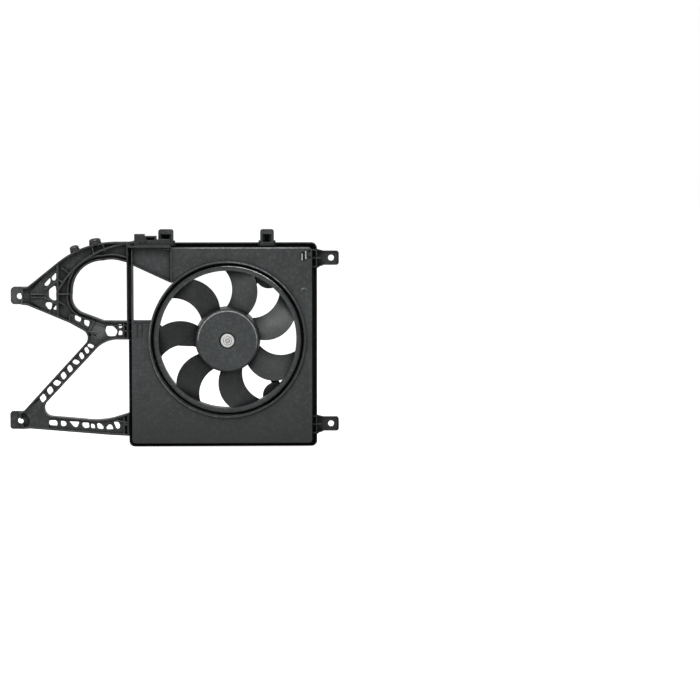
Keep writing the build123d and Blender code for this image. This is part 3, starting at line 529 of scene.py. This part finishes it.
# The fan wheel: glass-filled black nylon, moulded in one with its hub and ring. The fibres give
# it a drier, slightly greyer skin than the shroud, and its hub shows faint turned rings from
# the tool. A painted highlight runs along the upper half of the hub's rim, where the face meets
# the side wall, and the side wall and the blades are darkened with painted shade.
WHEEL_BLACK = (0.0200, 0.0232, 0.0238)
WHEEL_PALE = (0.090, 0.096, 0.096)
HUB_SIDE_R = (0.0550, 0.0606, 0.0004)
HUB_SIDE_PAINTED_SHADE = (0.0020, 0.0023, 0.0024)
HUB_SIDE_SHARE = 0.94
BLADES_R = (0.0616, 0.1255, 0.002)
BLADES_SHARE = 0.46
HUB_FACE_R = (0.016, 0.0518, 0.002)
RINGS_PER_METRE = 1350.0
RINGS_SHARE = 0.09
HUB_RIM_R = (0.0529, 0.0542, 0.0004)
HUB_RIM_ARC = (0.1, 3.0, 0.4)
HUB_RIM_HIGHLIGHT = (0.30, 0.31, 0.31)
RIM_BREAKS = ((260.0, 3.0, 0.6), (0.38, 0.62))
RIM_LEAST = 0.35


def centre_of(node):
    """The middle of a CAD node."""
    corners = [Vector(corner) for corner in nodes[node].bound_box]
    return sum(corners, Vector()) / len(corners)


wheel_finish = moulded_black(
    "wheel_dry_black", WHEEL_BLACK, WHEEL_PALE, gloss=0.50, grain=0.00005, edge_pale_strength=0.7
)
dress("fan_wheel", wheel_finish)

wheel_tree = wheel_finish.node_tree
wheel_middle = centre_of("nut_washer")
radius = distance_from(wheel_tree, wheel_middle)
angle = angle_about(wheel_tree, wheel_middle)
# Painted shade on the hub's side wall.
side_wall = band_mask(wheel_tree, radius, HUB_SIDE_R)
tint_where(wheel_finish, HUB_SIDE_PAINTED_SHADE, side_wall, HUB_SIDE_SHARE)
# Painted shade: the blades, deep inside the shroud, are darkened.
on_blades = band_mask(wheel_tree, radius, BLADES_R)
tint_where(wheel_finish, PAINTED_SHADE_BLACK, on_blades, BLADES_SHARE)
rings = calc(wheel_tree, "SINE", times(wheel_tree, radius, RINGS_PER_METRE))
rings = spread(wheel_tree, rings, -1.0, 1.0, 0.0, RINGS_SHARE)
hub_face = band_mask(wheel_tree, radius, HUB_FACE_R)
tint_where(wheel_finish, WHEEL_PALE, rings, hub_face)
# Painted highlight on the hub's rim, along its upper half.
rim_line = band_mask(wheel_tree, radius, HUB_RIM_R)
rim_broken = pattern(wheel_tree, place_on(wheel_tree), RIM_BREAKS, RIM_LEAST)
top_side = band_mask(wheel_tree, angle, HUB_RIM_ARC)
tint_where(wheel_finish, HUB_RIM_HIGHLIGHT, rim_line, rim_broken, top_side)

# The lip of the wheel's ring: a painted highlight along its outer edge at the upper right,
# with a painted shadow line inside it all round.
LIP_SHADOW_R = (0.1318, 0.1335, 0.0003)
LIP_SHADOW_BLACK = (0.0030, 0.0034, 0.0035)
LIP_SHADOW_SHARE = 0.75
LIP_LINE_R = (0.1338, 0.1350, 0.0002)
LIP_LINE_ARC = (1.00, 1.40, 0.30)
LIP_HIGHLIGHT = (0.75, 0.77, 0.77)

lip_shadow = band_mask(wheel_tree, radius, LIP_SHADOW_R)
tint_where(wheel_finish, LIP_SHADOW_BLACK, lip_shadow, LIP_SHADOW_SHARE)
# Painted highlight on the lip's outer edge, at the upper right.
lip_line = band_mask(wheel_tree, radius, LIP_LINE_R)
lip_arc = band_mask(wheel_tree, angle, LIP_LINE_ARC)
tint_where(wheel_finish, LIP_HIGHLIGHT, lip_line, lip_arc, rim_broken)

# The two pegs pushed into the arch, turned shapes of smooth black nylon: a barbed tip that
# snaps behind the arch's rim, a stout body, and a domed cap above a narrow groove. They stand
# a little straighter than the rim.
PEG_BLACK = (0.0100, 0.0112, 0.0115)
PEG_PALE = (0.060, 0.063, 0.063)
PEG_MIDDLE_Y = 0.024
PEG_STEPS = 48
PEG_SHARP_DEGREES = 35
PEG_TIP = ((0.0004, -0.0066), (0.0020, -0.0062), (0.0034, -0.0042), (0.0032, -0.0030))
PEG_SIDE = (
    (0.0, -0.0016), (0.0002, 0.0036), (-0.0002, 0.0041), (-0.0009, 0.0042),
    (-0.0009, 0.0049), (-0.0002, 0.0050), (-0.0001, 0.0062), (-0.0006, 0.0077),
    (-0.0017, 0.0090), (-0.0034, 0.0100), (-0.0054, 0.0106),
)
PEG_DIMPLE = ((0.0026, 0.0108), (0.0022, 0.0096), (0.0004, 0.0095))
PEGS = (
    ("arch_peg_small", -0.1811, 0.3607, 15.66, 0.0090),
    ("arch_peg_large", -0.1440, 0.3736, 7.80, 0.0112),
)

peg_finish = moulded_black(
    "peg_smooth_black", PEG_BLACK, PEG_PALE, gloss=0.34, grain=0.00002, edge=0.0010
)


def turned_peg(name, x, z, lean, radius):
    """A peg lathed round its own axis, standing on the arch."""
    side = tuple((radius + out, height) for out, height in PEG_SIDE)
    outline = PEG_TIP + side + PEG_DIMPLE
    count = len(outline)
    points = []
    faces = []
    for i in range(PEG_STEPS):
        turn = 2 * math.pi * i / PEG_STEPS
        points += [(r * math.cos(turn), r * math.sin(turn), h) for r, h in outline]
        here = i * count
        after = (i + 1) % PEG_STEPS * count
        for k in range(count - 1):
            faces.append((here + k, after + k, after + k + 1, here + k + 1))
    faces.append([i * count + count - 1 for i in range(PEG_STEPS)])
    faces.append([i * count for i in reversed(range(PEG_STEPS))])
    mesh = bpy.data.meshes.new(name)
    mesh.from_pydata(points, [], faces)
    mesh.shade_smooth()
    mesh.set_sharp_from_angle(angle=math.radians(PEG_SHARP_DEGREES))
    mesh.materials.append(peg_finish)
    peg = put_in_scene(name, mesh)
    peg.location = (x, PEG_MIDDLE_Y, z)
    peg.rotation_euler = (0, math.radians(-lean), 0)
    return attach(peg, "frame")


for name, x, z, lean, radius in PEGS:
    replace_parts(turned_peg(name, x, z, lean, radius), "harness_clips")

# The plug holder clipped over the rim, in the same smooth nylon as the pegs. The back of its
# pocket is closed by a thin wall with shallow ribs, moulded in one with it.
POCKET_BACK_MM = ((-68.4, 8.6, 381.2), (-34.6, 9.8, 386.9))
WALL_EDGE = 0.00015
WALL_RIBS = 4
WALL_RIB_MM = 0.25

dress("connector_bracket", peg_finish)


def ribbed_wall(name, low, high, across, finish):
    """A thin wall from its low to its high corner in millimetres, ribbed across one axis."""
    grid = bmesh.new()
    bmesh.ops.create_cube(grid, size=1.0)
    reaches = [(edge, edge.verts[0].co - edge.verts[1].co) for edge in grid.edges]
    edges_across = [edge for edge, reach in reaches if abs(reach[across]) > 0.5]
    bmesh.ops.subdivide_edges(grid, edges=edges_across, cuts=2 * WALL_RIBS - 1)
    size = [far - near for near, far in zip(low, high)]
    for vertex in grid.verts:
        step = round((vertex.co[across] + 0.5) * 2 * WALL_RIBS)
        inset = WALL_RIB_MM if step % 2 and vertex.co.y < 0 else 0.0
        steps_in = [(part + 0.5) * length for part, length in zip(vertex.co, size)]
        vertex.co = [(near + step_in) / 1000 for near, step_in in zip(low, steps_in)]
        vertex.co.y += inset / 1000
    mesh = bpy.data.meshes.new(name)
    grid.to_mesh(mesh)
    grid.free()
    mesh.materials.append(finish)
    wall = put_in_scene(name, mesh)
    soften_edges(wall, WALL_EDGE, 2)
    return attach(wall, "frame")


low, high = POCKET_BACK_MM
ribbed_wall("bracket_pocket_back", low, high, 0, peg_finish)

# Thin skins of the shroud moulding: the one behind the ladder slots beside the spring clip, and
# the floors of the notches under the two hooks, all moulded with the pan.
LADDER_SLOT_BACK_MM = ((244.6, -5.5, 345.4), (250.5, -4.4, 365.0))
HOOK_NOTCHES_MM = (
    ("hook_notch_floor_left", (-20.9, -3.8, 364.9), (-8.7, 11.8, 365.6)),
    ("hook_notch_floor_right", (165.9, -3.8, 364.9), (175.8, 11.8, 365.6)),
)

low, high = LADDER_SLOT_BACK_MM
ribbed_wall("ladder_slot_back", low, high, 2, panel_finish)
for name, low, high in HOOK_NOTCHES_MM:
    ribbed_wall(name, low, high, 0, panel_finish)

# The fasteners in the hub: a zinc-plated flange nut on a dished washer at the threaded end of
# the shaft, bright and slightly uneven from the plating barrel, with painted shade in two rings
# where the nut meets its flange and the shaft.
ZINC = (0.72, 0.72, 0.70)
NUT_ZINC = (0.95, 0.95, 0.94)
NUT_RINGS_R = ((0.0036, 0.0050, 0.0003), (0.0068, 0.0079, 0.0003))
NUT_RING_SHADE = (0.08, 0.08, 0.08)
NUT_RING_SHARE = 0.80
STEEL = (0.50, 0.50, 0.50)
METAL_PATCHES = ((420.0, 4.0, 0.65), (0.35, 0.65))
METAL_DULLS = 0.14
METAL_MARKS = (1500.0, 3.0, 0.6)
METAL_EDGE = 0.0003
NUT_EDGE = 0.0004
WASHER_EDGE = 0.0003
TUMBLED_OVER_DEGREES = 40


def plated_metal(name, colour, gloss, grain=0.00003, dark=0.75):
    """Plated or bare metal with barrel marks and small dull patches."""
    material, tree, shader = new_finish(name)
    where = place_on(tree)
    patches = pattern(tree, where, METAL_PATCHES)
    dulled = blend_colour(tree, patches, colour, shade(colour, dark))
    tree.links.new(dulled, shader.inputs["Base Color"])
    matt = spread(tree, patches, 0.0, 1.0, gloss, gloss + METAL_DULLS)
    tree.links.new(matt, shader.inputs["Roughness"])
    shader.inputs["Metallic"].default_value = 1.0
    marks = noise(tree, where, *METAL_MARKS)
    relief = surface_relief(tree, rounded_normal(tree, METAL_EDGE), ((marks, grain),))
    tree.links.new(relief, shader.inputs["Normal"])
    return material


def tumble(node, width):
    """Rounds the sharp edges of a metal node, as tumbling in a barrel does."""
    tumbled = soften_edges(nodes[node], width, 3)
    tumbled.limit_method = "ANGLE"
    tumbled.angle_limit = math.radians(TUMBLED_OVER_DEGREES)


zinc_finish = plated_metal("zinc_plate", ZINC, gloss=0.26)
nut_finish = plated_metal("zinc_plate_handled", NUT_ZINC, gloss=0.28, grain=0.00006, dark=0.70)
steel_finish = plated_metal("plain_steel", STEEL, gloss=0.30)
for node in ("nut_washer", "motor_bolts", "carrier_screws"):
    dress(node, zinc_finish)
for node in ("motor_shaft", "front_bearing", "rear_bearing", "brush_springs"):
    dress(node, steel_finish)
dress("fan_nut", nut_finish)

nut_tree = nut_finish.node_tree
radius = distance_from(nut_tree, centre_of("fan_nut"))
# Painted shade in the two rings on the nut.
for band in NUT_RINGS_R:
    ring = band_mask(nut_tree, radius, band)
    tint_where(nut_finish, NUT_RING_SHADE, ring, NUT_RING_SHARE)
tumble("fan_nut", NUT_EDGE)
tumble("nut_washer", WASHER_EDGE)

# The spring clip near the upper right ear, bent from dulled steel strip and pushed onto the
# pan. Only the front ends of its two blades are left bright, and behind them it is darkened
# with painted shade.
CLIP_STEEL = (0.55, 0.56, 0.56)
CLIP_PAINTED_SHADE = (0.006, 0.006, 0.006)
CLIP_DARK_Y = (-0.0122, -0.0100)
CLIP_DARK_SHARE = 0.97
CLIP_EDGE = 0.0003

clip_finish = plated_metal(
    "spring_steel_dulled", CLIP_STEEL, gloss=0.36, grain=0.00008, dark=0.55
)
dress("panel_clip", clip_finish)
clip_tree = clip_finish.node_tree
# Painted shade over the clip behind the front ends of its blades.
_, depth, _ = along_axes(clip_tree)
set_back = spread(clip_tree, depth, *CLIP_DARK_Y, 0.0, CLIP_DARK_SHARE)
tint_where(clip_finish, CLIP_PAINTED_SHADE, set_back)
tumble("panel_clip", CLIP_EDGE)

# The motor behind the hub: a drawn steel can and end plate under black paint, rubber bushes in
# the carrier, and a rubber gland where the leads come out.
PAINT_BLACK = (0.014, 0.014, 0.015)
PAINT_PALE = (0.11, 0.11, 0.11)
RUBBER_BLACK = (0.011, 0.011, 0.012)
RUBBER_PALE = (0.04, 0.04, 0.04)

paint_finish = moulded_black(
    "motor_black_paint", PAINT_BLACK, PAINT_PALE, gloss=0.33, grain=0.00002
)
rubber_finish = moulded_black(
    "bush_rubber", RUBBER_BLACK, RUBBER_PALE, gloss=0.62, grain=0.00004
)
for node in ("motor_housing", "motor_end_plate"):
    dress(node, paint_finish)
for node in ("motor_grommets", "lead_gland"):
    dress(node, rubber_finish)

# Inside the motor: a stack of steel laminations with its winding and commutator, two ferrite
# magnets glued in the can, and carbon brushes in a brown resin holder.
COPPER = (0.55, 0.24, 0.11)
LAMINATION = (0.24, 0.24, 0.25)
FERRITE = (0.045, 0.045, 0.048)
CARBON = (0.022, 0.022, 0.023)
RESIN = (0.16, 0.075, 0.035)
PRESSED_GRAIN = (700.0, 5.0, 0.7)
PRESSED_SPAN = (0.3, 0.7)
PRESSED_DARK = 0.7
PRESSED_LIGHT = 1.3
PRESSED_SWING = 0.08
PRESSED_EDGE = 0.0003


def sintered(name, colour, gloss, grain):
    """Pressed or cast material with an even fine grain: ferrite, carbon or resin."""
    material, tree, shader = new_finish(name)
    fine = noise(tree, place_on(tree), *PRESSED_GRAIN)
    share = spread(tree, fine, *PRESSED_SPAN)
    dark, light = shade(colour, PRESSED_DARK), shade(colour, PRESSED_LIGHT)
    tree.links.new(blend_colour(tree, share, dark, light), shader.inputs["Base Color"])
    matt = spread(tree, fine, *PRESSED_SPAN, gloss - PRESSED_SWING, gloss + PRESSED_SWING)
    tree.links.new(matt, shader.inputs["Roughness"])
    relief = surface_relief(tree, rounded_normal(tree, PRESSED_EDGE), ((fine, grain),))
    tree.links.new(relief, shader.inputs["Normal"])
    return material


copper_finish = plated_metal("enamelled_copper", COPPER, gloss=0.28, grain=0.0001, dark=0.6)
stack_finish = plated_metal("steel_laminations", LAMINATION, gloss=0.38, grain=0.00008, dark=0.6)
for node in ("armature_winding", "commutator"):
    dress(node, copper_finish)
dress("armature_core", stack_finish)
dress("magnets", sintered("ferrite_grey", FERRITE, gloss=0.55, grain=0.00006))
dress("brushes", sintered("brush_carbon", CARBON, gloss=0.48, grain=0.00005))
dress("brush_holder", sintered("holder_resin", RESIN, gloss=0.42, grain=0.00003))
